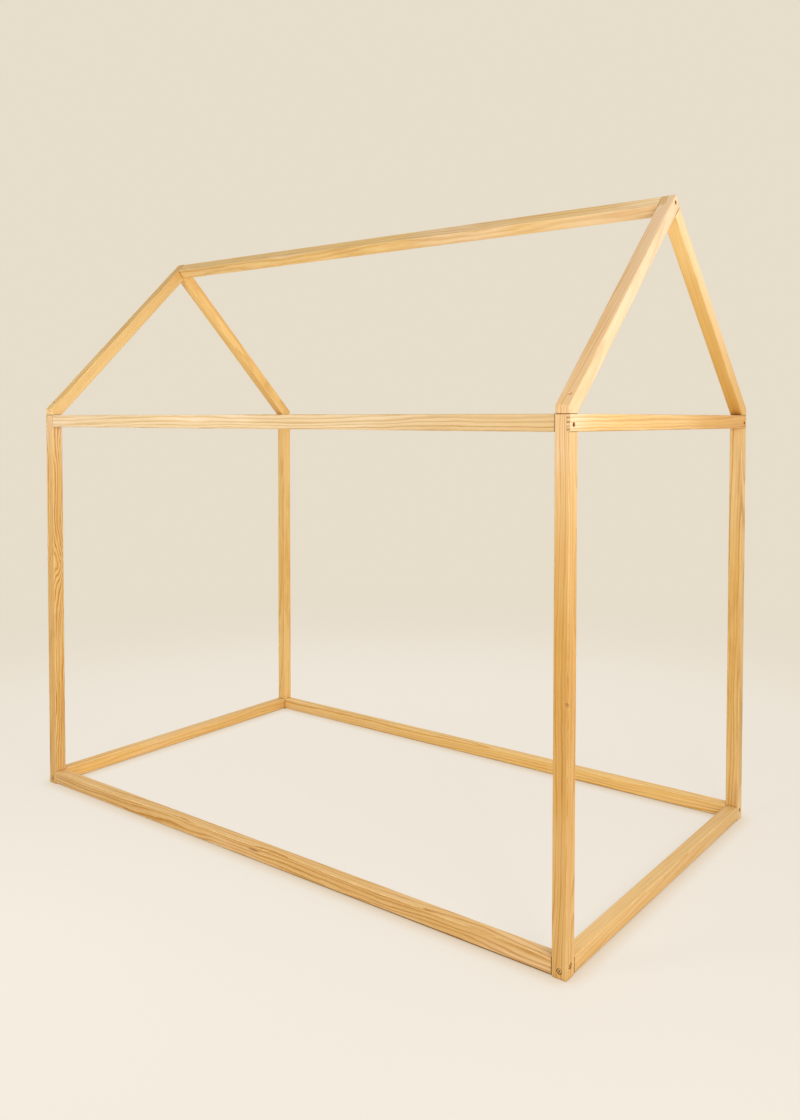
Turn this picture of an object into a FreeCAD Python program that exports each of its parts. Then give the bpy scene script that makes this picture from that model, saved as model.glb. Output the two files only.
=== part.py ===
import FreeCAD, Part
import math
import os

# House frame bed: an open gabled frame of pine bars that stands round a mattress on the floor.
# All sizes are in millimetres. +X runs along the bed, +Y from its front to its rear, +Z up.
# The origin is on the floor, under the middle of the frame.

Vector = FreeCAD.Vector

# ---------------------------------------------------------------- the whole frame
clear_length = 1910.0        # between the posts, along the bed
clear_width = 1074.0         # between the posts, across the bed
post_height = 1260.0         # the eave: tops of the posts and of the top rails
roof_pitch = 44.0            # degrees from level
floor_gap = 2.5              # under the bottom rails, so that only the posts touch the floor

# ---------------------------------------------------------------- sections of the bars
post_width = 38.0            # along the bed
post_depth = 38.0            # across the bed
rail_height = 40.0
rail_thickness = 37.0
rafter_depth = 40.0          # square to the roof slope
rafter_thickness = 37.0      # along the bed
ridge_width = 40.0           # along the front slope
ridge_thickness = 37.0       # square to the front slope

# ---------------------------------------------------------------- edges
arris_radius = 3.0           # rounding of every long edge
end_ease = 1.2               # small bevel where a bar is sawn off
toe_height = 20.0            # plumb cut at the foot of a rafter
toe_radius = 12.0            # from the plumb cut into the slope

# ---------------------------------------------------------------- lapped joints
tongue_thickness = 8.0       # lap of a gable rail over the gable face of its posts
lap_clearance = 0.3          # in the shoulders and cheeks of the lapped joints

# ---------------------------------------------------------------- connector screws
screw_head_diameter = 10.0
screw_head_height = 3.5
screw_shank_diameter = 7.0
screw_shank_length = 70.0
screw_point_length = 6.0
screw_tip_diameter = 0.8
screw_socket_across = 4.0    # hexagon socket, across its flats
screw_socket_depth = 2.5
screw_clearance = 0.05       # round the shank
bore_end_gap = 0.5           # between the end of a screw or dowel and the end of its bore
base_recess_diameter = 14.0
base_recess_depth = 5.0
upper_recess_diameter = 12.0
upper_recess_depth = 6.0

# ---------------------------------------------------------------- screws at the rafter feet
foot_screw_head_diameter = 7.5
foot_screw_head_height = 3.0
foot_screw_shank_diameter = 5.0
foot_screw_shank_length = 66.0
foot_screw_point_length = 5.0
foot_screw_slot_width = 1.2
foot_screw_slot_length = 4.6
foot_screw_slot_depth = 1.6
foot_recess_diameter = 8.0
foot_recess_depth = 12.0     # from the slope to the top of the head, on the screw's axis

# ---------------------------------------------------------------- dowels
dowel_diameter = 8.0
dowel_length = 28.0
dowel_end_bevel = 1.0
dowel_clearance = 0.05

# ---------------------------------------------------------------- places of screws and dowels
base_long_screw_rise = 26.5       # above the underside of the long bottom rails
base_long_dowel_rise = 9.5
base_gable_screw_rise = 15.5      # above the underside of the gable bottom rails
base_gable_dowel_rise = 31.5
eave_screw_drop = 24.0            # below the eave, into the long top rails
eave_dowel_drop = 10.0
foot_screw_from_gable = 14.0      # from the gable face
foot_screw_from_front = 26.5      # from the front face, or from the rear face
ridge_screw_drop = 21.0           # below the ridge line
ridge_dowel_drop = 39.0
ridge_dowel_offset = 2.0          # towards the front

# ---------------------------------------------------------------- worked out from the sizes above
origin = Vector(0, 0, 0)
along = Vector(1, 0, 0)
across = Vector(0, 1, 0)
up = Vector(0, 0, 1)
parallel = 0.999             # cosine above which two directions count as parallel
flat = 1e-4                  # how far a point may lie off a plane that it counts as in

half_length = clear_length / 2 + post_width
half_width = clear_width / 2 + post_depth
slope = math.tan(math.radians(roof_pitch))
slope_cosine = math.cos(math.radians(roof_pitch))
slope_sine = math.sin(math.radians(roof_pitch))
up_the_slope = Vector(0, slope_cosine, slope_sine)
ridge_height = post_height + toe_height + half_width * slope
rafter_drop = rafter_depth / slope_cosine      # plumb height through a rafter


def mirrored_along(shape):
    """The same shape at the other end of the bed."""
    return shape.mirror(origin, along)


def mirrored_across(shape):
    """The same shape at the other side of the bed."""
    return shape.mirror(origin, across)


def at_both_ends(shape):
    return [shape, mirrored_along(shape)]


def at_all_corners(shape):
    """The shape of the front right corner, at all four corners."""
    return at_both_ends(shape) + at_both_ends(mirrored_across(shape))


def straight_edges(shape, direction):
    """Edges of a shape that run parallel to a direction."""
    found = []
    for edge in shape.Edges:
        if not isinstance(edge.Curve, (Part.Line, Part.LineSegment)):
            continue
        run = edge.lastVertex().Point - edge.firstVertex().Point
        if abs(run.normalize().dot(direction)) > parallel:
            found.append(edge)
    return found


def edges_in_plane(shape, point, normal):
    """Edges of a shape that lie in a plane."""
    found = []
    for edge in shape.Edges:
        middle = edge.valueAt((edge.FirstParameter + edge.LastParameter) / 2)
        places = [vertex.Point for vertex in edge.Vertexes] + [middle]
        if all(abs((place - point).dot(normal)) < flat for place in places):
            found.append(edge)
    return found


def shared_edges(some, others):
    """Edges that are in both lists."""
    return [edge for edge in some if any(edge.isSame(other) for other in others)]


def box_between(low, high):
    """A box from its lowest corner to its highest."""
    size = high - low
    return Part.makeBox(size.x, size.y, size.z, low)


def with_rounded_arrises(shape, direction):
    """A square bar with its four long edges rounded."""
    return shape.makeFillet(arris_radius, straight_edges(shape, direction))


def with_eased_end(shape, point, normal):
    """A bar with the sawn edges of one end bevelled a little."""
    return shape.makeChamfer(end_ease, edges_in_plane(shape, point, normal))


def bar_between(low, high, direction):
    """A rounded bar along X, Y or Z, with both ends eased."""
    bar = with_rounded_arrises(box_between(low, high), direction)
    bar = with_eased_end(bar, low, direction)
    return with_eased_end(bar, high, direction)


def cylinder(start, direction, diameter, length):
    return Part.makeCylinder(diameter / 2, length, start, direction)


# ---------------------------------------------------------------- screws and dowels
# A screw or dowel is made at the front right corner, or at the right gable, and mirrored from there.
# Each has a bore of the same line, which is cut out of every bar that it meets.

def hexagon_socket(start, direction, flats, depth):
    """A hexagonal prism that is cut out of the head of a level screw."""
    corner_radius = flats / 2 / math.cos(math.pi / 6)
    side = up * corner_radius
    other_side = direction.cross(side)
    corners = []
    for step in range(7):
        angle = step * math.pi / 3
        corners.append(start + side * math.cos(angle) + other_side * math.sin(angle))
    return Part.Face(Part.makePolygon(corners)).extrude(direction * depth)


def screw_body(head_top, direction, head_diameter, head_height, shank_diameter, shank_length, point_length):
    """A screw with a round head, a plain shank and a tapered point."""
    shank_start = head_top + direction * head_height
    point_start = shank_start + direction * (shank_length - point_length)
    head = cylinder(head_top, direction, head_diameter, head_height)
    shank = cylinder(shank_start, direction, shank_diameter, shank_length - point_length)
    point = Part.makeCone(shank_diameter / 2, screw_tip_diameter / 2, point_length, point_start, direction)
    return head.fuse([shank, point]).removeSplitter()


def connector_screw(face, direction, recess_depth):
    """A connector screw whose head stands on the floor of its recess."""
    head_top = face + direction * (recess_depth - screw_head_height)
    screw = screw_body(
        head_top,
        direction,
        screw_head_diameter,
        screw_head_height,
        screw_shank_diameter,
        screw_shank_length,
        screw_point_length,
    )
    return screw.cut(hexagon_socket(head_top, direction, screw_socket_across, screw_socket_depth))


def connector_bore(face, direction, recess_diameter, recess_depth):
    """Recess and bore of a connector screw, from the face that it goes in at."""
    recess = cylinder(face, direction, recess_diameter, recess_depth)
    bore_diameter = screw_shank_diameter + 2 * screw_clearance
    bore_length = recess_depth + screw_shank_length + bore_end_gap
    return recess.fuse(cylinder(face, direction, bore_diameter, bore_length)).removeSplitter()


def dowel(joint, direction):
    """A dowel with half its length on each side of a joint."""
    start = joint - direction * (dowel_length / 2)
    plain = cylinder(start, direction, dowel_diameter, dowel_length)
    near_rim = edges_in_plane(plain, start, direction)
    far_rim = edges_in_plane(plain, start + direction * dowel_length, direction)
    return plain.makeChamfer(dowel_end_bevel, near_rim + far_rim)


def dowel_bore(joint, direction):
    reach = dowel_length / 2 + bore_end_gap
    return cylinder(joint - direction * reach, direction, dowel_diameter + 2 * dowel_clearance, 2 * reach)


# Where each screw enters, and where each dowel crosses its joint.
front_rail_y = rail_thickness / 2 - half_width        # middle of the long front rails
gable_rail_x = half_length - rail_thickness / 2       # middle of the right gable's rails
post_inner_x = half_length - post_width
post_inner_y = post_depth - half_width
base_long_screw_face = Vector(half_length, front_rail_y, floor_gap + base_long_screw_rise)
base_long_dowel_joint = Vector(post_inner_x, front_rail_y, floor_gap + base_long_dowel_rise)
base_gable_screw_face = Vector(gable_rail_x, -half_width, floor_gap + base_gable_screw_rise)
base_gable_dowel_joint = Vector(gable_rail_x, post_inner_y, floor_gap + base_gable_dowel_rise)
eave_screw_face = Vector(half_length, front_rail_y, post_height - eave_screw_drop)
eave_dowel_joint = Vector(post_inner_x, front_rail_y, post_height - eave_dowel_drop)
ridge_screw_face = Vector(half_length, 0, ridge_height - ridge_screw_drop)
ridge_end_x = half_length - rafter_thickness
ridge_dowel_joint = Vector(ridge_end_x, -ridge_dowel_offset, ridge_height - ridge_dowel_drop)
foot_screw_surface = Vector(
    half_length - foot_screw_from_gable,
    foot_screw_from_front - half_width,
    post_height + toe_height + foot_screw_from_front * slope,
)


def foot_screw():
    """A plumb screw from the rafter's slope down into the top of the post, with a crossed slot."""
    head_top = foot_screw_surface - up * foot_recess_depth
    screw = screw_body(
        head_top,
        -up,
        foot_screw_head_diameter,
        foot_screw_head_height,
        foot_screw_shank_diameter,
        foot_screw_shank_length,
        foot_screw_point_length,
    )
    half_slot = foot_screw_slot_length / 2
    half_slot_width = foot_screw_slot_width / 2
    slot_floor = head_top - up * foot_screw_slot_depth
    slot_along = box_between(
        slot_floor - Vector(half_slot, half_slot_width, 0),
        head_top + Vector(half_slot, half_slot_width, 0),
    )
    slot_across = box_between(
        slot_floor - Vector(half_slot_width, half_slot, 0),
        head_top + Vector(half_slot_width, half_slot, 0),
    )
    return screw.cut([slot_along, slot_across])


def foot_bore():
    """Recess and bore of a rafter foot screw, open at the slope."""
    recess_floor = foot_screw_surface - up * (foot_recess_depth + foot_screw_head_height)
    above_slope = foot_recess_depth + foot_screw_head_height + foot_recess_diameter
    recess = cylinder(recess_floor, up, foot_recess_diameter, above_slope)
    bore_diameter = foot_screw_shank_diameter + 2 * screw_clearance
    bore = cylinder(recess_floor, -up, bore_diameter, foot_screw_shank_length + bore_end_gap)
    return recess.fuse(bore).removeSplitter()


corner_bores = [
    connector_bore(base_long_screw_face, -along, base_recess_diameter, base_recess_depth),
    connector_bore(base_gable_screw_face, across, base_recess_diameter, base_recess_depth),
    connector_bore(eave_screw_face, -along, upper_recess_diameter, upper_recess_depth),
    dowel_bore(base_long_dowel_joint, -along),
    dowel_bore(base_gable_dowel_joint, across),
    dowel_bore(eave_dowel_joint, -along),
    foot_bore(),
]
ridge_bores = [
    connector_bore(ridge_screw_face, -along, upper_recess_diameter, upper_recess_depth),
    dowel_bore(ridge_dowel_joint, -along),
]
all_bores = []
for corner_bore in corner_bores:
    all_bores.extend(at_all_corners(corner_bore))
for ridge_bore in ridge_bores:
    all_bores.extend(at_both_ends(ridge_bore))


def drilled(bar):
    """A bar with every bore that reaches it."""
    reaching = [bore for bore in all_bores if bore.BoundBox.intersect(bar.BoundBox)]
    return bar.cut(reaching).Solids[0] if reaching else bar


# ---------------------------------------------------------------- posts
def front_right_post():
    """A corner post with a housing in its gable face, at the top, for the tongue of the gable rail."""
    low = Vector(post_inner_x, -half_width, 0)
    high = Vector(half_length, post_inner_y, post_height)
    post = bar_between(low, high, up)
    housing_depth = tongue_thickness + lap_clearance
    housing_floor = post_height - rail_height - lap_clearance
    housing = box_between(
        Vector(half_length - housing_depth, -half_width, housing_floor),
        Vector(half_length, post_inner_y, post_height),
    )
    return post.cut(housing)


# ---------------------------------------------------------------- rails
def long_rail(bottom):
    """A front rail between two posts, flush with their front faces."""
    low = Vector(-clear_length / 2, -half_width, bottom)
    high = Vector(clear_length / 2, rail_thickness - half_width, bottom + rail_height)
    return bar_between(low, high, along)


def right_bottom_rail():
    """A gable rail between two posts, flush with their gable faces."""
    low = Vector(half_length - rail_thickness, -clear_width / 2, floor_gap)
    high = Vector(half_length, clear_width / 2, floor_gap + rail_height)
    return bar_between(low, high, across)


def right_gable_rail():
    """The top rail of a gable: a full bar between the posts, with a thin tongue lapped over each."""
    bottom = post_height - rail_height
    inner_side = half_length - rail_thickness
    body = box_between(
        Vector(inner_side, -clear_width / 2, bottom),
        Vector(half_length, clear_width / 2, post_height),
    )
    tongues = box_between(
        Vector(half_length - tongue_thickness, -half_width, bottom),
        Vector(half_length, half_width, post_height),
    )
    rail = body.fuse(tongues).removeSplitter()
    outer_edges = edges_in_plane(rail, along * half_length, along)
    inner_edges = edges_in_plane(rail, along * inner_side, along)
    long_inner_edges = shared_edges(inner_edges, straight_edges(rail, across))
    return rail.makeFillet(arris_radius, outer_edges + long_inner_edges)


# ---------------------------------------------------------------- roof
def rafter_profile(end_points):
    """Outline of a front rafter, from its plumb toe up to the end points that are given."""
    toe_bottom = Vector(0, -half_width, post_height)
    toe_top = toe_bottom + up * toe_height
    heel = Vector(0, (post_height - ridge_height + rafter_drop) / slope, post_height)
    tangent_length = toe_radius * math.tan(math.radians(90 - roof_pitch) / 2)
    arc_start = toe_top - up * tangent_length
    arc_end = toe_top + up_the_slope * tangent_length
    arc_centre = arc_start + across * toe_radius
    to_toe = toe_top - arc_centre
    arc_middle = arc_centre + to_toe.normalize() * toe_radius
    corners = [arc_end] + end_points + [heel, toe_bottom, arc_start]
    edges = [Part.makeLine(a, b) for a, b in zip(corners, corners[1:])]
    edges.append(Part.Arc(arc_start, arc_middle, arc_end).toShape())
    return Part.Face(Part.Wire(edges))


def slab(profile, outer, inner):
    """A profile made solid between two distances from the right gable face."""
    placed = profile.translated(along * (half_length - inner))
    return placed.extrude(along * (inner - outer))


def finished_rafter(blank):
    """A rafter blank with its long edges rounded and the end of its foot eased."""
    gable_side = edges_in_plane(blank, along * half_length, along)
    bed_side = edges_in_plane(blank, along * ridge_end_x, along)
    toe_arcs = [edge for edge in blank.Edges if isinstance(edge.Curve, Part.Circle)]
    running = straight_edges(blank, up_the_slope) + straight_edges(blank, up) + toe_arcs
    rafter = blank.makeFillet(arris_radius, shared_edges(gable_side + bed_side, running))
    toe_edge = shared_edges(
        edges_in_plane(rafter, up * post_height, up),
        edges_in_plane(rafter, across * -half_width, across),
    )
    return rafter.makeChamfer(end_ease, toe_edge)


# The half lap at the ridge: the half towards the gable face runs through on the front rafter, and
# the half towards the bed runs through on the rear rafter.
# A half that runs through ends in the plane of the other slope.
through_end = [
    Vector(0, 0, ridge_height),
    Vector(0, rafter_drop / 2 / slope, ridge_height - rafter_drop / 2),
]
# A half that stops ends under the other rafter.
shoulder_drop = rafter_drop + lap_clearance / slope_cosine
shoulder_end = [
    Vector(0, -shoulder_drop / 2 / slope, ridge_height - shoulder_drop / 2),
    Vector(0, (rafter_drop - shoulder_drop) / 2 / slope, ridge_height - (rafter_drop + shoulder_drop) / 2),
]


def right_rafter(through_outer, through_inner):
    """A front rafter of the right gable, running through between two distances from the gable face."""
    through_half = slab(rafter_profile(through_end), through_outer, through_inner)
    whole = slab(rafter_profile(shoulder_end), 0, rafter_thickness)
    return finished_rafter(whole.fuse(through_half).removeSplitter())


def ridge_beam():
    """The ridge: a bar turned to lie in the front slope, between the inner faces of the rafters."""
    low = Vector(-ridge_end_x, -ridge_width, -ridge_thickness)
    high = Vector(ridge_end_x, 0, 0)
    bar = bar_between(low, high, along)
    bar.rotate(origin, along, roof_pitch)
    bar.translate(up * ridge_height)
    return bar


# ---------------------------------------------------------------- the bed, node by node
cheek = lap_clearance / 2
half_rafter = rafter_thickness / 2
post = front_right_post()
top_rail = long_rail(post_height - rail_height)
bottom_rail = long_rail(floor_gap)
bottom_gable_rail = right_bottom_rail()
gable_rail = right_gable_rail()
front_rafter = right_rafter(0, half_rafter - cheek)
rear_rafter = mirrored_across(right_rafter(half_rafter + cheek, rafter_thickness))

bars = {
    "post_front_right": post,
    "post_front_left": mirrored_along(post),
    "post_rear_right": mirrored_across(post),
    "post_rear_left": mirrored_across(mirrored_along(post)),
    "top_rail_front": top_rail,
    "top_rail_rear": mirrored_across(top_rail),
    "gable_rail_right": gable_rail,
    "gable_rail_left": mirrored_along(gable_rail),
    "bottom_rail_front": bottom_rail,
    "bottom_rail_rear": mirrored_across(bottom_rail),
    "bottom_rail_right": bottom_gable_rail,
    "bottom_rail_left": mirrored_along(bottom_gable_rail),
    "rafter_front_right": front_rafter,
    "rafter_front_left": mirrored_along(front_rafter),
    "rafter_rear_right": rear_rafter,
    "rafter_rear_left": mirrored_along(rear_rafter),
    "ridge_beam": ridge_beam(),
}
fastenings = {
    "base_screws_long": at_all_corners(connector_screw(base_long_screw_face, -along, base_recess_depth)),
    "base_screws_gable": at_all_corners(connector_screw(base_gable_screw_face, across, base_recess_depth)),
    "eave_screws": at_all_corners(connector_screw(eave_screw_face, -along, upper_recess_depth)),
    "rafter_foot_screws": at_all_corners(foot_screw()),
    "ridge_screws": at_both_ends(connector_screw(ridge_screw_face, -along, upper_recess_depth)),
    "base_dowels_long": at_all_corners(dowel(base_long_dowel_joint, -along)),
    "base_dowels_gable": at_all_corners(dowel(base_gable_dowel_joint, across)),
    "eave_dowels": at_all_corners(dowel(eave_dowel_joint, -along)),
    "ridge_dowels": at_both_ends(dowel(ridge_dowel_joint, -along)),
}

os.makedirs("parts", exist_ok=True)
for node, bar in bars.items():
    drilled(bar).exportStep(f"parts/{node}.step")
for node, pieces in fastenings.items():
    Part.makeCompound(pieces).exportStep(f"parts/{node}.step")
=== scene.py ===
import math

import bmesh
import bpy
from mathutils import Euler, Matrix, Vector


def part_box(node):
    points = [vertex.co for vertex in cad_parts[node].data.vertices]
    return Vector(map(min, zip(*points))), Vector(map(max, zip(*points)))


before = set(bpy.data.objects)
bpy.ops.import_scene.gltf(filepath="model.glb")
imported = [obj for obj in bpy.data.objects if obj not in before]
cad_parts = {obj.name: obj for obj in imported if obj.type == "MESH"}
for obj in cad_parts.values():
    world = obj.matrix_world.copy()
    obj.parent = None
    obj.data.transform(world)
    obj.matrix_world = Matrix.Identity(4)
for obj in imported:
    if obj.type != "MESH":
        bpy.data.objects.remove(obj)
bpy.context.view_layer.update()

# ---------------------------------------------------------------- the photograph's camera

PHOTO_HEIGHT = 1120
SENSOR = 36.0
FOCAL_PIXELS = 990.694
EYE = Vector((2.01621, -2.50853, 1.24881))
TURNED_LEFT = 0.656555
TIPPED_DOWN = 0.033019
ROLLED = -0.000844
AXIS_ABOVE_MIDDLE = 108.65
NEAREST_SEEN = 0.05
FARTHEST_SEEN = 200.0


def set_up_camera():
    shot = bpy.data.cameras.new("photograph_camera")
    shot.sensor_width = SENSOR
    shot.lens = SENSOR * FOCAL_PIXELS / PHOTO_HEIGHT
    shot.shift_y = -AXIS_ABOVE_MIDDLE / PHOTO_HEIGHT
    shot.clip_start = NEAREST_SEEN
    shot.clip_end = FARTHEST_SEEN
    camera = bpy.data.objects.new("photograph_camera", shot)
    bpy.context.scene.collection.objects.link(camera)
    aim = (
        Matrix.Rotation(TURNED_LEFT, 4, "Z")
        @ Matrix.Rotation(-TIPPED_DOWN, 4, "X")
        @ Matrix.Rotation(ROLLED, 4, "Y")
        @ Matrix.Rotation(math.pi / 2, 4, "X")
    )
    camera.matrix_world = Matrix.Translation(EYE) @ aim
    bpy.context.scene.camera = camera


# ---------------------------------------------------------------- node helpers

# The sockets of a Mix node that mixes colours, which it only knows by number.
MIX_AMOUNT = 0
MIX_FIRST = 6
MIX_SECOND = 7
MIX_RESULT = 2


def colour(red, green, blue):
    """A colour as it looks on screen, 0 to 255, made linear."""
    def straight(v):
        v = v / 255
        return v / 12.92 if v <= 0.04045 else ((v + 0.055) / 1.055) ** 2.4
    return (straight(red), straight(green), straight(blue), 1.0)


def plug(tree, node, socket, value):
    """Joins a socket to another node's result, or fills it with a plain value."""
    if isinstance(value, bpy.types.NodeSocket):
        tree.links.new(value, node.inputs[socket])
    else:
        node.inputs[socket].default_value = value


def step(tree, kind, plugs=None, **settings):
    """Adds one node, makes its settings, and joins or fills its sockets."""
    made = tree.nodes.new(kind)
    for name, value in settings.items():
        setattr(made, name, value)
    for socket, value in (plugs or {}).items():
        plug(tree, made, socket, value)
    return made


def maths(tree, operation, first, second=0.0, third=0.0):
    plugs = {0: first, 1: second, 2: third}
    return step(tree, "ShaderNodeMath", plugs, operation=operation).outputs[0]


def vectors(tree, operation, first, second=(0.0, 0.0, 0.0)):
    made = step(tree, "ShaderNodeVectorMath", {0: first, 1: second}, operation=operation)
    return made.outputs["Value" if operation in ("LENGTH", "DOT_PRODUCT") else "Vector"]


def scaled(tree, vector, factor):
    plugs = {0: vector, "Scale": factor}
    return step(tree, "ShaderNodeVectorMath", plugs, operation="SCALE").outputs[0]


def split(tree, vector):
    return step(tree, "ShaderNodeSeparateXYZ", {"Vector": vector}).outputs


def object_place(tree):
    return step(tree, "ShaderNodeTexCoord").outputs["Object"]


def ramped(tree, value, low, high, to_low=0.0, to_high=1.0):
    """A smooth change from to_low to to_high while value goes from low to high."""
    plugs = {"Value": value, "From Min": low, "From Max": high, "To Min": to_low, "To Max": to_high}
    return step(tree, "ShaderNodeMapRange", plugs, interpolation_type="SMOOTHSTEP").outputs["Result"]


def blended(tree, amount, first, second, how="MIX"):
    made = step(tree, "ShaderNodeMix", data_type="RGBA", blend_type=how)
    plug(tree, made, MIX_AMOUNT, amount)
    plug(tree, made, MIX_FIRST, first)
    plug(tree, made, MIX_SECOND, second)
    return made.outputs[MIX_RESULT]


def cloudy(tree, vector, scale, detail=2.0, rough=0.5):
    plugs = {"Vector": vector, "Scale": scale, "Detail": detail, "Roughness": rough}
    return step(tree, "ShaderNodeTexNoise", plugs)


def openness(tree, reach, samples=6):
    """1 where a surface is in the clear, less where something stands closer than reach."""
    return step(tree, "ShaderNodeAmbientOcclusion", {"Distance": reach}, samples=samples).outputs["AO"]


def new_material(name):
    material = bpy.data.materials.new(name)
    material.use_nodes = True
    return material, material.node_tree, material.node_tree.nodes["Principled BSDF"]


# ---------------------------------------------------------------- the figure of the wood

# Waves a metre, across the grain and along it.
SLOW_BENDS = (15.0, 2.3)
QUICK_BENDS = (46.0, 11.0)
FAINT_STRETCHES = (30.0, 3.4)
FIBRES = (900.0, 14.0)
STREAKS = (150.0, 3.2)
SHIFTS_OF_TONE = (9.0, 2.1)
STAINS = (30.0, 5.5)
DUCTS = (620.0, 70.0)
SCUFFS = (60.0, 22.0)

SLOW_OVER_QUICK = 5.0
BRANCH_RISE = 0.25
BRANCH_GRIP = 0.42
BRANCH_YEARS = 16.0
RAGGED = 0.006
UNEVEN_YEARS = 1.9
YEAR_CHANGES = 45.0
SUMMER_HEIGHT = 0.84
SUMMER_ENDS = 0.90
DUCTS_LEFT_OUT = 0.72


def set_square(along, width):
    """The turn that lays local Z along the grain and local X along the board's width."""
    across = along.cross(width)
    return Matrix((width, across, along)).transposed()


def board_coordinates(tree, middle, square):
    plugs = {"Vector": object_place(tree), "Location": middle, "Rotation": square.to_euler()}
    return step(tree, "ShaderNodeMapping", plugs, vector_type="TEXTURE").outputs["Vector"]


def stretched(tree, vector, waves):
    """The board's coordinates with one scale across the grain and another along it."""
    across, along = waves
    return vectors(tree, "MULTIPLY", vector, (across, across, along))


def figure(tree, own, waves, detail=2.0, rough=0.5):
    """How strong one kind of figure is from place to place, 0 to 1."""
    return cloudy(tree, stretched(tree, own, waves), 1.0, detail, rough).outputs["Fac"]


def drift(tree, own, waves, detail):
    """A push this way and that, which evens out to nought."""
    push = cloudy(tree, stretched(tree, own, waves), 1.0, detail).outputs["Color"]
    return vectors(tree, "SUBTRACT", push, (0.5, 0.5, 0.5))


def knot(height, towards, radius, swell, cut=True):
    """A branch: its height on the board, the way it grew from the heart, its size, and how far it
    pushes the years out. A branch that isn't cut by the saw only bends the grain."""
    return (height, towards, radius, swell, cut)


def from_branch(tree, grain, height, towards, radius):
    """How far a point lies from a branch's middle, in branch radii."""
    plugs = {"Vector": grain, "Location": (0, 0, height), "Rotation": (0.0, -BRANCH_RISE, towards)}
    branch = step(tree, "ShaderNodeMapping", plugs, vector_type="TEXTURE").outputs["Vector"]
    aside = vectors(tree, "LENGTH", vectors(tree, "MULTIPLY", branch, (0, 1, 1)))
    behind = maths(tree, "MULTIPLY", ramped(tree, split(tree, branch)["X"], 0.01, -0.01), 9.0)
    return maths(tree, "ADD", maths(tree, "DIVIDE", aside, radius), behind)


def grow_branches(tree, grain, quick, reach, knots):
    """Branches push the years out round them, and show where the saw cut them."""
    knot_shade = None
    for height, towards, radius, swell, cut in knots:
        ragged = vectors(tree, "ADD", grain, scaled(tree, quick, RAGGED))
        away = from_branch(tree, ragged, height, towards, radius)
        push = maths(tree, "EXPONENT", maths(tree, "MULTIPLY", away, -BRANCH_GRIP))
        reach = maths(tree, "MULTIPLY_ADD", push, -swell, reach)
        if cut:
            circles = maths(tree, "SINE", maths(tree, "MULTIPLY", away, BRANCH_YEARS))
            circles = maths(tree, "MULTIPLY_ADD", circles, 0.14, 0.72)
            core = maths(tree, "MULTIPLY", ramped(tree, away, 1.22, 0.92), circles)
            knot_shade = core if knot_shade is None else maths(tree, "MAXIMUM", core, knot_shade)
    return reach, knot_shade


def grow_years(tree, own, reach, ring, late, seed):
    """Pale spring wood that darkens to a sharp summer line, stronger in some years than in others.
    Gives the season at each point, 0 to 1, and how much summer wood is there."""
    plugs = {"W": maths(tree, "MULTIPLY", reach, YEAR_CHANGES), "Scale": 1.0}
    uneven = step(tree, "ShaderNodeTexNoise", plugs, noise_dimensions="1D").outputs["Fac"]
    years = maths(tree, "MULTIPLY_ADD", uneven, UNEVEN_YEARS, maths(tree, "DIVIDE", reach, ring))
    years = maths(tree, "ADD", years, seed)
    plugs = {"W": maths(tree, "FLOOR", years)}
    luck = step(tree, "ShaderNodeTexWhiteNoise", plugs, noise_dimensions="1D").outputs["Value"]
    season = maths(tree, "FRACT", years)
    rise = ramped(tree, season, late, SUMMER_HEIGHT)
    summer = maths(tree, "MULTIPLY", rise, ramped(tree, season, SUMMER_ENDS, 1.0, 1.0, 0.0))
    summer = maths(tree, "MULTIPLY", summer, maths(tree, "MULTIPLY_ADD", luck, 0.65, 0.40))
    faint = figure(tree, own, FAINT_STRETCHES)
    summer = maths(tree, "MULTIPLY", summer, ramped(tree, faint, 0.30, 0.55, 0.5, 1.0))
    return season, summer


def resin_ducts(tree, own, season):
    """Short fine pores, most of them in the summer wood."""
    plugs = {"Vector": stretched(tree, own, DUCTS), "Scale": 1.0}
    cells = step(tree, "ShaderNodeTexVoronoi", plugs, feature="F1")
    there = maths(tree, "GREATER_THAN", cells.outputs["Color"], DUCTS_LEFT_OUT)
    duct = maths(tree, "MULTIPLY", ramped(tree, cells.outputs["Distance"], 0.30, 0.12), there)
    return maths(tree, "MULTIPLY", duct, ramped(tree, season, 0.45, 0.8, 0.3, 1.0))


# ---------------------------------------------------------------- varnished pine

HONEY = colour(236, 193, 121)
GOLD = colour(225, 180, 112)
STRAW = colour(240, 198, 126)
AMBER = colour(238, 190, 112)
CREAM = colour(236, 196, 146)
MELLOW = colour(230, 186, 117)
BISCUIT = colour(224, 193, 146)
SUNNY = colour(249, 203, 124)
# The pale and deep ends of the tone along a board: partly the wood's own tone, partly painted sheen and
# painted shade.
PALE_TONE_AND_SHEEN = colour(247, 216, 180)
DEEP_TONE_AND_SHADE = (0.87, 0.74, 0.42, 1.0)
SUMMER_TINT = colour(215, 184, 97)
HEART_TINT = colour(226, 208, 180)
KNOT_BROWN = colour(150, 92, 36)
RESIN = colour(150, 98, 46)
END_STAIN = colour(236, 222, 202)
END_LINES = colour(78, 42, 16)
RUBBED_PALE = colour(250, 222, 172)
# Painted shade for the inner corners.
CORNER_SHADE = colour(178, 118, 62)
# Brown for the seam line at board ends, partly varnish and dust and partly painted shade, and for
# painted shade in creases and under pieces.
SEAM_AND_SHADE_BROWN = colour(120, 74, 12)

RED_FLICKER = 0.6
BLUE_FLICKER = 1.9
ARRIS_SOUND = 0.0040
ARRIS_RUBBED = 0.0012
SEAM_FADES = 0.0019
SEAM_FULL = 0.0009
CORNER_SHADE_REACH = 0.022
CREASE_SHADE_REACH = 0.0028
FOOT_LINE_BLUR = 0.0007
RELIEF_DEPTH = 0.0001


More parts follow.
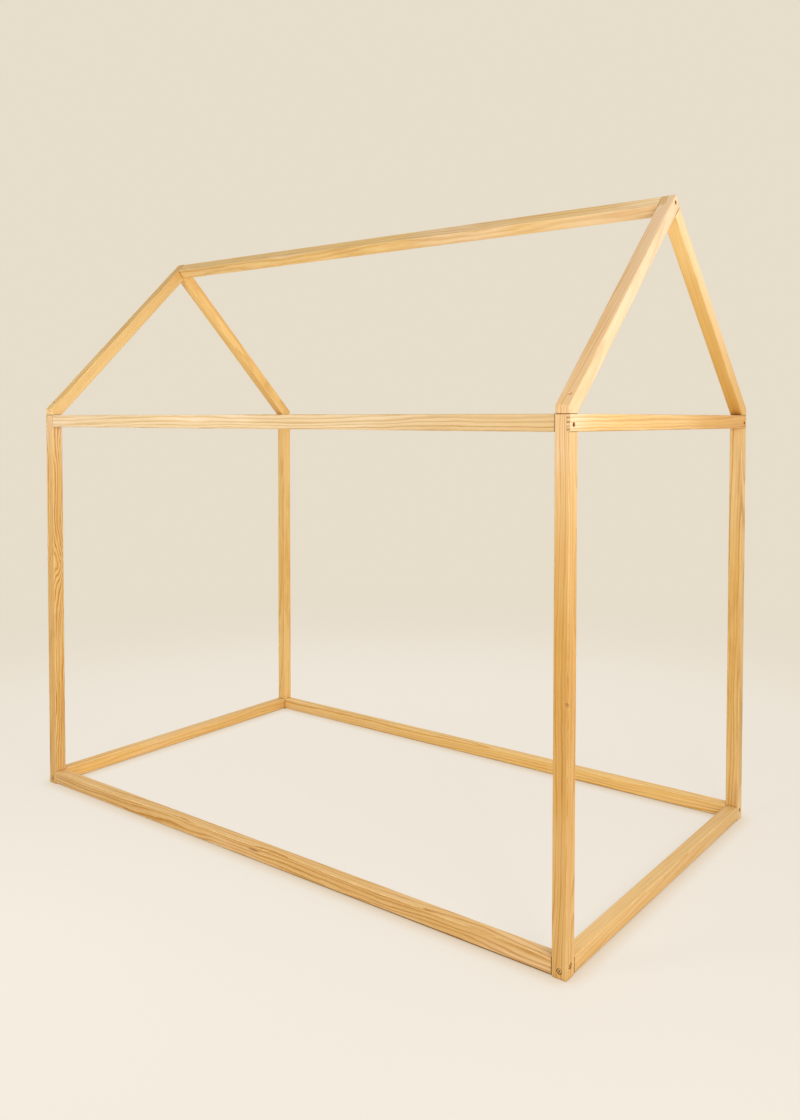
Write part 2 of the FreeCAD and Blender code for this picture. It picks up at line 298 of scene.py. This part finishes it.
def tone_and_sheen_along(tree, own, height, far, wood, faded):
    """The wood's colour, paler or deeper yellow at some places along the board: partly the board's own
    tone, and partly painted sheen and painted shade where the light falls more or less.
    """
    deeper = tuple(a * b for a, b in zip(wood, DEEP_TONE_AND_SHADE))
    low_end, halfway, high_end = faded
    paleness = maths(tree, "ADD", ramped(tree, height, -far, 0.0, low_end, halfway),
                ramped(tree, height, 0.0, far, 0.0, high_end - halfway))
    tone = figure(tree, own, SHIFTS_OF_TONE)
    paleness = maths(tree, "ADD", paleness, ramped(tree, tone, 0.3, 0.7, 0.25, -0.35))
    shade = blended(tree, ramped(tree, paleness, 0.0, -1.0), wood, deeper)
    return blended(tree, ramped(tree, paleness, 0.0, 1.0), shade, PALE_TONE_AND_SHEEN)


def flicker_fibres(tree, own, shade, fibre):
    """Fine light and dark along the fibres. Dark wood is redder, so blue changes the most."""
    streak = figure(tree, own, STREAKS, 3.0, 0.6)
    flicker = maths(tree, "MULTIPLY_ADD", fibre, 0.14, maths(tree, "MULTIPLY_ADD", streak, 0.40, 0.73))
    plugs = {
        "Red": maths(tree, "POWER", flicker, RED_FLICKER),
        "Green": flicker,
        "Blue": maths(tree, "POWER", flicker, BLUE_FLICKER),
    }
    tinted = step(tree, "ShaderNodeCombineColor", plugs).outputs["Color"]
    return blended(tree, 1.0, shade, tinted, "MULTIPLY")


def resin_pocket(tree, shade, board, wander, place, half_size):
    """A short brown streak of resin that follows the grain."""
    near = vectors(tree, "ADD", board, scaled(tree, wander, 0.4))
    near = vectors(tree, "DIVIDE", vectors(tree, "SUBTRACT", near, place), half_size)
    near = vectors(tree, "LENGTH", near)
    return blended(tree, ramped(tree, near, 1.0, 0.35, 0.0, 0.75), shade, RESIN)


def wear_seams_and_shade(tree, shade, board, size, end, scuffs):
    """Arrises rub pale; a brown line, partly varnish and dust and partly painted shade, lies in the
    seams at the board's ends; and painted shade darkens the inner corners and creases.
    """
    parts = split(tree, vectors(tree, "ABSOLUTE", board))
    from_side = maths(tree, "SUBTRACT", size[0] / 2, parts["X"])
    from_face = maths(tree, "SUBTRACT", size[1] / 2, parts["Y"])
    from_end = maths(tree, "SUBTRACT", size[2] / 2, parts["Z"])
    from_arris = maths(tree, "MAXIMUM", from_side, from_face)
    wear = ramped(tree, from_arris, ARRIS_SOUND, ARRIS_RUBBED)
    wear = maths(tree, "MULTIPLY", wear, ramped(tree, scuffs, 0.40, 0.62))
    shade = blended(tree, maths(tree, "MULTIPLY", wear, 0.18), shade, RUBBED_PALE)
    # Painted shade: inner corners, found by ambient occlusion, are darkened and browned.
    corner_shade = ramped(tree, openness(tree, CORNER_SHADE_REACH), 0.62, 0.10, 0.0, 0.62)
    shade = blended(tree, corner_shade, shade, CORNER_SHADE, "MULTIPLY")
    # The seam at each end of the board: a brown line, partly varnish and dust and partly painted shade
    # of the joint's groove.
    seam = ramped(tree, from_end, SEAM_FADES, SEAM_FULL)
    seam = maths(tree, "MULTIPLY", seam, maths(tree, "SUBTRACT", 1.0, end))
    shade = blended(tree, maths(tree, "MULTIPLY", seam, 0.85), shade, SEAM_AND_SHADE_BROWN)
    # Painted shade: narrow creases and gaps between parts are browned by ambient occlusion.
    crease_shade = ramped(tree, openness(tree, CREASE_SHADE_REACH), 0.70, 0.38, 0.0, 0.75)
    return blended(tree, crease_shade, shade, SEAM_AND_SHADE_BROWN)


def painted_foot_shade(tree, shade, height, far, foot):
    """Painted shade: a brown line along the underside of a piece, where it sits close above the floor or
    another part.
    """
    underside, shade_rise_low, shade_rise_high = foot
    shade_rise = ramped(tree, height, -far, far, shade_rise_low, shade_rise_high)
    above = maths(tree, "SUBTRACT", split(tree, object_place(tree))["Z"], underside)
    above = maths(tree, "SUBTRACT", above, shade_rise)
    line = ramped(tree, above, FOOT_LINE_BLUR, -FOOT_LINE_BLUR, 0.0, 0.9)
    return blended(tree, line, shade, SEAM_AND_SHADE_BROWN)


def pine(name, middle, along, width, size, heart, lean=(0.0, 0.0), ring=0.0080, sway=0.006,
         lines=0.6, wood=HONEY, faded=(0.0, 0.0, 0.0), stain=0.0, seed=0.0, knots=(), pockets=(),
         foot=None, late=0.36):
    """Planed pine under clear satin varnish, sawn from a log whose heart lies off to one side.

    heart is how far the log's heart is from the board's middle, along its width and thickness.
    lean is how far the grain runs out per metre, ring the width of a year's growth, sway the
    wander of the grain and lines the strength of the summer wood. faded is how much paler the
    board is at its low end, middle and high end, below nought where it is deeper yellow; this is
    partly the board's own tone and partly painted sheen and painted shade. stain is the darker
    patches, and pockets are streaks of resin. foot is a painted shade line along the underside of
    a piece: the height of that underside, and how far up the line reaches at the board's low end
    and at its high end. late is when in the year the wood darkens, and seed picks the board.
    """
    material, tree, varnish = new_material(name)

    square = set_square(along, width)
    tilt = Euler((-lean[1], lean[0], 0.0)).to_matrix()
    log_middle = middle + square @ Vector((heart[0], heart[1], 0.0))
    grain = board_coordinates(tree, log_middle, square @ tilt)
    board = board_coordinates(tree, middle, square)
    own = vectors(tree, "ADD", grain, (seed, seed * 0.7, seed * 1.3))

    # The grain wanders slowly along the board and shivers a little on the way.
    slow = drift(tree, own, SLOW_BENDS, 1.0)
    quick = drift(tree, own, QUICK_BENDS, 2.0)
    wander = vectors(tree, "ADD", scaled(tree, slow, sway * SLOW_OVER_QUICK), scaled(tree, quick, sway))
    own = vectors(tree, "ADD", own, wander)
    from_heart = vectors(tree, "MULTIPLY", vectors(tree, "ADD", grain, wander), (1, 1, 0))
    reach = vectors(tree, "LENGTH", from_heart)
    reach, knot_shade = grow_branches(tree, grain, quick, reach, knots)
    season, summer = grow_years(tree, own, reach, ring, late, seed)
    duct = resin_ducts(tree, own, season)
    fibre = figure(tree, own, FIBRES, 3.0, 0.6)
    scuffs = figure(tree, own, SCUFFS, 3.0, 0.7)

    # Square-sawn ends show the years plainly and drink a little more varnish.
    outward = step(tree, "ShaderNodeNewGeometry").outputs["Normal"]
    facing = vectors(tree, "DOT_PRODUCT", outward, tuple(along))
    end = ramped(tree, maths(tree, "ABSOLUTE", facing), 0.60, 0.98)

    far = size[2] / 2
    height = split(tree, board)["Z"]
    shade = tone_and_sheen_along(tree, own, height, far, wood, faded)
    if stain:
        patch = ramped(tree, figure(tree, own, STAINS, 2.0, 0.6), 0.48, 0.66, 0.0, stain)
        shade = blended(tree, patch, shade, HEART_TINT, "MULTIPLY")
    strength = maths(tree, "MULTIPLY", maths(tree, "MULTIPLY_ADD", end, 0.8, 1.0), lines)
    shade = blended(tree, maths(tree, "MULTIPLY", summer, strength), shade, SUMMER_TINT, "MULTIPLY")
    shade = flicker_fibres(tree, own, shade, fibre)
    shade = blended(tree, maths(tree, "MULTIPLY", duct, 0.12), shade, SUMMER_TINT, "MULTIPLY")
    if knot_shade is not None:
        shade = blended(tree, knot_shade, shade, KNOT_BROWN)
    for place, half_size in pockets:
        shade = resin_pocket(tree, shade, board, wander, place, half_size)
    cut_lines = maths(tree, "MULTIPLY", summer, min(lines, 1.0))
    cut_ends = blended(tree, cut_lines, END_STAIN, END_LINES)
    shade = blended(tree, maths(tree, "MULTIPLY", end, 0.75), shade, cut_ends, "MULTIPLY")
    shade = wear_seams_and_shade(tree, shade, board, size, end, scuffs)
    # Painted shade along the underside.
    if foot is not None:
        shade = painted_foot_shade(tree, shade, height, far, foot)
    tree.links.new(shade, varnish.inputs["Base Color"])

    gloss = maths(tree, "MULTIPLY_ADD", summer, -0.07, maths(tree, "MULTIPLY_ADD", scuffs, 0.12, 0.40))
    gloss = maths(tree, "MULTIPLY_ADD", end, 0.16, gloss)
    tree.links.new(gloss, varnish.inputs["Roughness"])
    varnish.inputs["Specular IOR Level"].default_value = 0.33
    varnish.inputs["Coat Weight"].default_value = 0.10
    varnish.inputs["Coat Roughness"].default_value = 0.30

    relief = maths(tree, "MULTIPLY_ADD", summer, 0.6, maths(tree, "MULTIPLY", fibre, 0.25))
    relief = maths(tree, "MULTIPLY_ADD", duct, -0.04, relief)
    plugs = {"Height": relief, "Strength": 0.3, "Distance": RELIEF_DEPTH}
    raised = step(tree, "ShaderNodeBump", plugs)
    tree.links.new(raised.outputs["Normal"], varnish.inputs["Normal"])
    return material


# ---------------------------------------------------------------- the timber

UP = Vector((0, 0, 1))
ALONG_BED = Vector((1, 0, 0))
ACROSS_BED = Vector((0, 1, 0))
ROOF_PITCH = math.radians(44)
UP_FRONT_SLOPE = Vector((0, math.cos(ROOF_PITCH), math.sin(ROOF_PITCH)))
UP_REAR_SLOPE = Vector((0, -math.cos(ROOF_PITCH), math.sin(ROOF_PITCH)))

POST = (0.038, 0.038)
RAIL = (0.040, 0.037)
POST_LENGTH = 1.260
LONG_RAIL_LENGTH = 1.910
GABLE_RAIL_LENGTH = 1.150
LOW_GABLE_RAIL_LENGTH = 1.074
RAFTER_LENGTH = 0.575 / math.cos(ROOF_PITCH)
RAFTER_BLANK = RAFTER_LENGTH * 1.2
RIDGE_LENGTH = 1.912
APEX = Vector(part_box("rafter_front_right")[1]).z

# The height of an underside, and how far up the painted shade line along it reaches at the low and high
# end.
FRONT_RAIL_FOOT = (0.0025, 0.0006, 0.0042)
LOW_RAIL_FOOT = (0.0025, 0.0014, 0.0018)
RAFTER_FOOT = (1.260, 0.0008, 0.0008)

# The middle of the streak of resin on the front bottom rail, and half its size.
RESIN_STREAK = ((0.007, 0.018, 0.0), (0.0055, 0.0055, 0.032))


def finish_node(name, material):
    """Gives a carried-over node its finish."""
    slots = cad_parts[name].data.materials
    slots.clear()
    slots.append(material)


def middle_of(name):
    low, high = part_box(name)
    return (Vector(low) + Vector(high)) / 2


def rafter_middle(name, slope):
    """The middle of a rafter's bar, measured from the apex down its slope."""
    square_off = ALONG_BED.cross(slope)
    if square_off.z > 0:
        square_off = -square_off
    side = middle_of(name).x
    return Vector((side, 0, APEX)) - slope * RAFTER_LENGTH / 2 + square_off * RAIL[0] / 2


def finish_bar(name, along, width, size, middle=None, **grain):
    if middle is None:
        middle = middle_of(name)
    finish_node(name, pine(name + "_pine", middle, along, width, size, **grain))


def upright(name, **grain):
    finish_bar(name, UP, ALONG_BED, POST + (POST_LENGTH,), **grain)


def lengthways(name, **grain):
    finish_bar(name, ALONG_BED, UP, RAIL + (LONG_RAIL_LENGTH,), **grain)


def crossways(name, length, **grain):
    finish_bar(name, ACROSS_BED, UP, RAIL + (length,), **grain)


def sloping(name, slope, **grain):
    finish_bar(name, slope, ALONG_BED.cross(slope), RAIL + (RAFTER_BLANK,),
               middle=rafter_middle(name, slope), foot=RAFTER_FOOT, **grain)


def finish_posts():
    upright("post_front_right", heart=(0.075, 0.030), lean=(0.012, 0.004), ring=0.0065, lines=0.75,
            wood=GOLD, faded=(0.1, -0.85, 0.25), seed=1.3, knots=[knot(-0.031, -2.42, 0.004, 0.003)])
    upright("post_front_left", heart=(-0.050, -0.050), lean=(0.0, 0.004), ring=0.0050, sway=0.008,
            lines=2.2, wood=MELLOW, faded=(-0.2, 0.0, 0.35), stain=0.35, seed=7.7, late=0.40,
            knots=[knot(0.098, 0.80, 0.030, 0.020, cut=False)])
    upright("post_rear_right", heart=(-0.085, 0.012), lean=(0.018, 0.0), ring=0.0105, lines=1.15,
            faded=(0.2, -0.3, 0.1), seed=12.1, stain=0.4)
    upright("post_rear_left", heart=(0.05, 0.12), lean=(0.02, 0.01), lines=0.5, wood=SUNNY,
            faded=(-0.2, -0.2, -0.2), seed=17.9, stain=0.4)


def finish_top_rails():
    lengthways("top_rail_front", heart=(0.075, 0.02), lean=(0.010, 0.0), ring=0.0112, lines=1.1,
               wood=BISCUIT, faded=(0.1, 0.3, -0.5), seed=21.4)
    lengthways("top_rail_rear", heart=(-0.10, 0.02), lean=(0.01, 0.0), ring=0.010, lines=0.8,
               seed=26.2, knots=[knot(0.42, 0.2, 0.009, 0.014)])
    crossways("gable_rail_right", GABLE_RAIL_LENGTH, heart=(0.080, 0.02), lean=(0.016, 0.0),
              ring=0.0100, lines=1.15, wood=AMBER, faded=(0.65, -0.25, -1.1), seed=31.8)
    crossways("gable_rail_left", GABLE_RAIL_LENGTH, heart=(-0.12, 0.03), lean=(0.01, 0.0),
              ring=0.010, lines=0.8, seed=36.5)


def finish_bottom_rails():
    lengthways("bottom_rail_front", heart=(-0.065, 0.045), lean=(0.008, 0.004), ring=0.0100,
               sway=0.008, lines=1.25, wood=GOLD, faded=(0.2, 0.2, 0.2), seed=41.3,
               knots=[knot(0.42, 0.4, 0.014, 0.009, cut=False)], pockets=[RESIN_STREAK],
               foot=FRONT_RAIL_FOOT)
    lengthways("bottom_rail_rear", heart=(0.085, 0.04), lean=(0.01, 0.0), ring=0.010, lines=0.85,
               wood=SUNNY, seed=46.9, foot=LOW_RAIL_FOOT)
    crossways("bottom_rail_right", LOW_GABLE_RAIL_LENGTH, heart=(0.05, 0.10), lean=(0.01, 0.02),
              ring=0.010, lines=0.45, wood=MELLOW, seed=52.4, foot=LOW_RAIL_FOOT)
    crossways("bottom_rail_left", LOW_GABLE_RAIL_LENGTH, heart=(-0.08, 0.08), lean=(0.01, 0.01),
              ring=0.010, lines=0.7, wood=AMBER, faded=(0.1, 0.1, 0.1), seed=57.2,
              foot=LOW_RAIL_FOOT)


def finish_roof():
    sloping("rafter_front_right", UP_FRONT_SLOPE, heart=(0.01, 0.075), lean=(0.0, 0.035),
            sway=0.002, lines=0.5, wood=CREAM, faded=(-0.15, -0.05, 0.0), seed=61.6)
    sloping("rafter_front_left", UP_FRONT_SLOPE, heart=(0.10, 0.02), lean=(0.01, 0.01),
            ring=0.0070, lines=0.45, faded=(0.1, -0.25, -0.6), seed=66.1)
    sloping("rafter_rear_right", UP_REAR_SLOPE, heart=(0.02, -0.11), lean=(0.0, 0.03),
            lines=0.24, wood=STRAW, faded=(-1.0, -0.3, 0.1), seed=71.7)
    sloping("rafter_rear_left", UP_REAR_SLOPE, heart=(0.01, 0.12), lean=(0.0, 0.02),
            lines=0.45, wood=SUNNY, faded=(-0.2, -0.2, -0.2), seed=76.3)
    finish_bar("ridge_beam", ALONG_BED, UP_FRONT_SLOPE, RAIL + (RIDGE_LENGTH,), heart=(0.10, 0.05),
               lean=(0.008, 0.006), ring=0.010, lines=0.5, wood=STRAW, faded=(0.4, 0.2, 0.25),
               stain=0.3, seed=81.9)


# ---------------------------------------------------------------- screws and dowels

BRIGHT_ZINC = colour(238, 204, 144)
DULL_ZINC = colour(206, 164, 104)
# A shaded copy of the zinc colours: painted shade for screws deep in their holes.
ZINC_IN_SHADE = colour(172, 138, 94)
ZINC_IN_DEEP_SHADE = colour(120, 88, 56)
# Painted shade inside the screw sockets.
SOCKET_SHADE = colour(52, 32, 16)
SOCKET_SHADE_REACH = 0.003
DULL_PATCHES = 420.0

PALE_BEECH = colour(226, 190, 146)
RED_BEECH = colour(205, 162, 116)
BEECH_FLECK = colour(160, 112, 72)
BEECH_STRIPES = (90.0, 900.0, 900.0)
BEECH_FLECKS = (500.0, 2600.0, 2600.0)


def yellow_zinc(name, bright, dulled):
    """Yellow-passivated zinc on turned steel, a little dulled in patches, with painted shade in its
    socket.
    """
    material, tree, metal = new_material(name)
    dull = cloudy(tree, object_place(tree), DULL_PATCHES, 4.0, 0.6).outputs["Fac"]
    shade = blended(tree, ramped(tree, dull, 0.35, 0.7), bright, dulled)
    # Painted shade in the hex socket, found by ambient occlusion.
    socket_shading = ramped(tree, openness(tree, SOCKET_SHADE_REACH), 0.75, 0.35)
    shade = blended(tree, socket_shading, shade, SOCKET_SHADE)
    tree.links.new(shade, metal.inputs["Base Color"])
    metal.inputs["Metallic"].default_value = 1.0
    tree.links.new(ramped(tree, dull, 0.3, 0.75, 0.28, 0.46), metal.inputs["Roughness"])
    raised = step(tree, "ShaderNodeBump", {"Height": dull, "Strength": 0.2, "Distance": RELIEF_DEPTH})
    tree.links.new(raised.outputs["Normal"], metal.inputs["Normal"])
    return material


def beech_rod():
    """Plain beech, close grained with short dark flecks."""
    material, tree, rod = new_material("beech_rod")
    place = object_place(tree)
    stripes = vectors(tree, "MULTIPLY", place, BEECH_STRIPES)
    stripes = cloudy(tree, stripes, 1.0, 3.0).outputs["Fac"]
    flecks = vectors(tree, "MULTIPLY", place, BEECH_FLECKS)
    flecks = cloudy(tree, flecks, 1.0, 1.0).outputs["Fac"]
    shade = blended(tree, ramped(tree, stripes, 0.35, 0.7), PALE_BEECH, RED_BEECH)
    shade = blended(tree, ramped(tree, flecks, 0.62, 0.72, 0.0, 0.6), shade, BEECH_FLECK)
    tree.links.new(shade, rod.inputs["Base Color"])
    tree.links.new(ramped(tree, stripes, 0.3, 0.8, 0.5, 0.65), rod.inputs["Roughness"])
    return material


def finish_fastenings():
    golden = yellow_zinc("yellow_zinc", BRIGHT_ZINC, DULL_ZINC)
    for name in ("base_screws_long", "base_screws_gable", "rafter_foot_screws"):
        finish_node(name, golden)
    # Painted shade: a darker copy of the yellow zinc for the screws sunk deep in their holes at the
    # eaves and ridge.
    dark = yellow_zinc("shaded_zinc", ZINC_IN_SHADE, ZINC_IN_DEEP_SHADE)
    for name in ("eave_screws", "ridge_screws"):
        finish_node(name, dark)
    beech = beech_rod()
    for name in ("base_dowels_long", "base_dowels_gable", "eave_dowels", "ridge_dowels"):
        finish_node(name, beech)


# ---------------------------------------------------------------- studio

WHITE = (1.0, 1.0, 1.0, 1.0)
WALL = colour(231, 221, 203)
FLOOR = colour(240, 232, 219)
# Painted contact shadow and bounced warm light on the floor near the wood.
WOOD_BOUNCE_SHADE = colour(236, 216, 186)
FLOOR_SHADE_REACH = 0.045
FLOOR_TURNS_TO_WALL = (1.0, 4.0)
FLOOR_FADES_FROM = 1.6
FLOOR_FADES_TO = 4.5
FLOOR_REACH = 9.0
FLOOR_SIDES = 96
LIT_FROM_FRONT = (-0.61, 0.79, 0.0)
# How far behind the middle of the frame, and how evenly lit the floor looks there.
EVEN_NEAR = (-1.1, 0.68)
EVEN_FAR = (1.6, 0.93)

RIGHT_WALL_LIGHT = 0.52
REAR_WALL_LIGHT = 0.70
CEILING_LIGHT = 0.69
FAR_FLOOR_LIGHT = 1.17


def pale_floor():
    """The floor's colour, with a painted warm contact shadow close under the wood. To the camera the
    part behind the lamps is evened out, the way a lit studio sheet looks; the frame's shadow stays on
    it."""
    material, tree, paint = new_material("pale_floor")
    paint.inputs["Roughness"].default_value = 0.9
    paint.inputs["Specular IOR Level"].default_value = 0.1
    place = object_place(tree)
    out = vectors(tree, "LENGTH", place)
    shade = blended(tree, ramped(tree, out, *FLOOR_TURNS_TO_WALL), FLOOR, WALL)
    # Painted shadow: the floor close to the wood is darkened and warmed by ambient occlusion, standing
    # in for its shade and bounced light.
    close = ramped(tree, openness(tree, FLOOR_SHADE_REACH, samples=4), 1.0, 0.45, 0.0, 0.65)
    shade = blended(tree, close, shade, WOOD_BOUNCE_SHADE, "MULTIPLY")
    tree.links.new(shade, paint.inputs["Base Color"])
    behind = vectors(tree, "DOT_PRODUCT", place, LIT_FROM_FRONT)
    evenness = ramped(tree, behind, EVEN_NEAR[0], EVEN_FAR[0], EVEN_NEAR[1], EVEN_FAR[1])
    seen = step(tree, "ShaderNodeLightPath").outputs["Is Camera Ray"]
    evenness = maths(tree, "MULTIPLY", evenness, seen)
    even = step(tree, "ShaderNodeEmission", {"Color": shade, "Strength": 1.0}).outputs[0]
    lit = step(tree, "ShaderNodeMixShader", {0: evenness, 1: paint.outputs[0], 2: even}).outputs[0]
    gone = step(tree, "ShaderNodeBsdfTransparent").outputs[0]
    fade = ramped(tree, out, FLOOR_FADES_FROM, FLOOR_FADES_TO)
    mixed = step(tree, "ShaderNodeMixShader", {0: fade, 1: lit, 2: gone}).outputs[0]
    tree.links.new(mixed, tree.nodes["Material Output"].inputs["Surface"])
    return material


def lay_floor():
    """A plain pale floor that turns into the room's colour far out."""
    sheet = bmesh.new()
    bmesh.ops.create_circle(sheet, cap_ends=True, segments=FLOOR_SIDES, radius=FLOOR_REACH)
    mesh = bpy.data.meshes.new("studio_floor")
    sheet.to_mesh(mesh)
    sheet.free()
    floor = bpy.data.objects.new("studio_floor", mesh)
    bpy.context.scene.collection.objects.link(floor)
    mesh.materials.append(pale_floor())


def towards_wall(tree, part, limit, strength):
    """A wall's light, strongest straight towards it and none on the far side."""
    return maths(tree, "MULTIPLY", maths(tree, limit, part, 0.0), strength)


def light_room():
    """An even room: its light is plain white, and what the camera and the metal see is the pale wall."""
    world = bpy.data.worlds.new("studio_room")
    bpy.context.scene.world = world
    world.use_nodes = True
    tree = world.node_tree
    tree.nodes.clear()
    rays = step(tree, "ShaderNodeLightPath").outputs
    seen = maths(tree, "MAXIMUM", rays["Is Camera Ray"], rays["Is Glossy Ray"])
    seen = maths(tree, "MAXIMUM", seen, rays["Is Transmission Ray"])
    wall = step(tree, "ShaderNodeBackground", {"Color": WALL, "Strength": 1.0}).outputs[0]
    way = split(tree, step(tree, "ShaderNodeTexCoord").outputs["Generated"])
    from_right = towards_wall(tree, way["X"], "MAXIMUM", RIGHT_WALL_LIGHT)
    from_rear = towards_wall(tree, way["Y"], "MAXIMUM", REAR_WALL_LIGHT)
    from_above = towards_wall(tree, way["Z"], "MAXIMUM", CEILING_LIGHT)
    from_below = towards_wall(tree, way["Z"], "MINIMUM", -FAR_FLOOR_LIGHT)
    walls = maths(tree, "ADD", from_right, from_rear)
    level = maths(tree, "ADD", walls, maths(tree, "ADD", from_above, from_below))
    light = step(tree, "ShaderNodeBackground", {"Color": WHITE, "Strength": level}).outputs[0]
    both = step(tree, "ShaderNodeMixShader", {0: seen, 1: light, 2: wall}).outputs[0]
    step(tree, "ShaderNodeOutputWorld", {"Surface": both})


def hang_lamp(name, place, aim, width, height, power, tint=(1.0, 1.0, 1.0)):
    lamp = bpy.data.lights.new(name, "AREA")
    lamp.shape = "RECTANGLE"
    lamp.size = width
    lamp.size_y = height
    lamp.energy = power
    lamp.color = tint
    holder = bpy.data.objects.new(name, lamp)
    holder.visible_camera = False
    bpy.context.scene.collection.objects.link(holder)
    turn = (Vector(aim) - Vector(place)).to_track_quat("-Z", "Y").to_matrix().to_4x4()
    holder.matrix_world = Matrix.Translation(place) @ turn
    return holder


def hang_sheen(name, **lamp):
    """A softbox that shows only as a sheen in the varnish."""
    hang_lamp(name, **lamp).visible_diffuse = False


COOL = (0.93, 1.0, 1.05)


def light_studio():
    hang_sheen("gable_sheen", place=(2.4, 2.0, 1.95), aim=(0.99, -0.3, 1.5),
               width=1.3, height=0.9, power=14)
    hang_sheen("roof_sheen", place=(0.48, 0.55, 3.2), aim=(0.97, 0.0, 1.83),
               width=0.5, height=0.5, power=3.5)
    hang_sheen("rail_sheen", place=(-2.95, -2.15, 1.6), aim=(-0.6, -0.57, 1.25),
               width=1.9, height=0.9, power=16)
    hang_lamp("right_softbox", place=(2.65, -1.7, 1.55), aim=(0.7, -0.4, 1.2),
              width=1.0, height=1.0, power=31)
    hang_lamp("left_softbox", place=(-0.35, -2.4, 1.35), aim=(-0.5, -0.4, 1.2),
              width=1.0, height=1.0, power=22, tint=COOL)


set_up_camera()
finish_posts()
finish_top_rails()
finish_bottom_rails()
finish_roof()
finish_fastenings()
lay_floor()
light_room()
light_studio()
bpy.context.scene.view_settings.view_transform = "Standard"
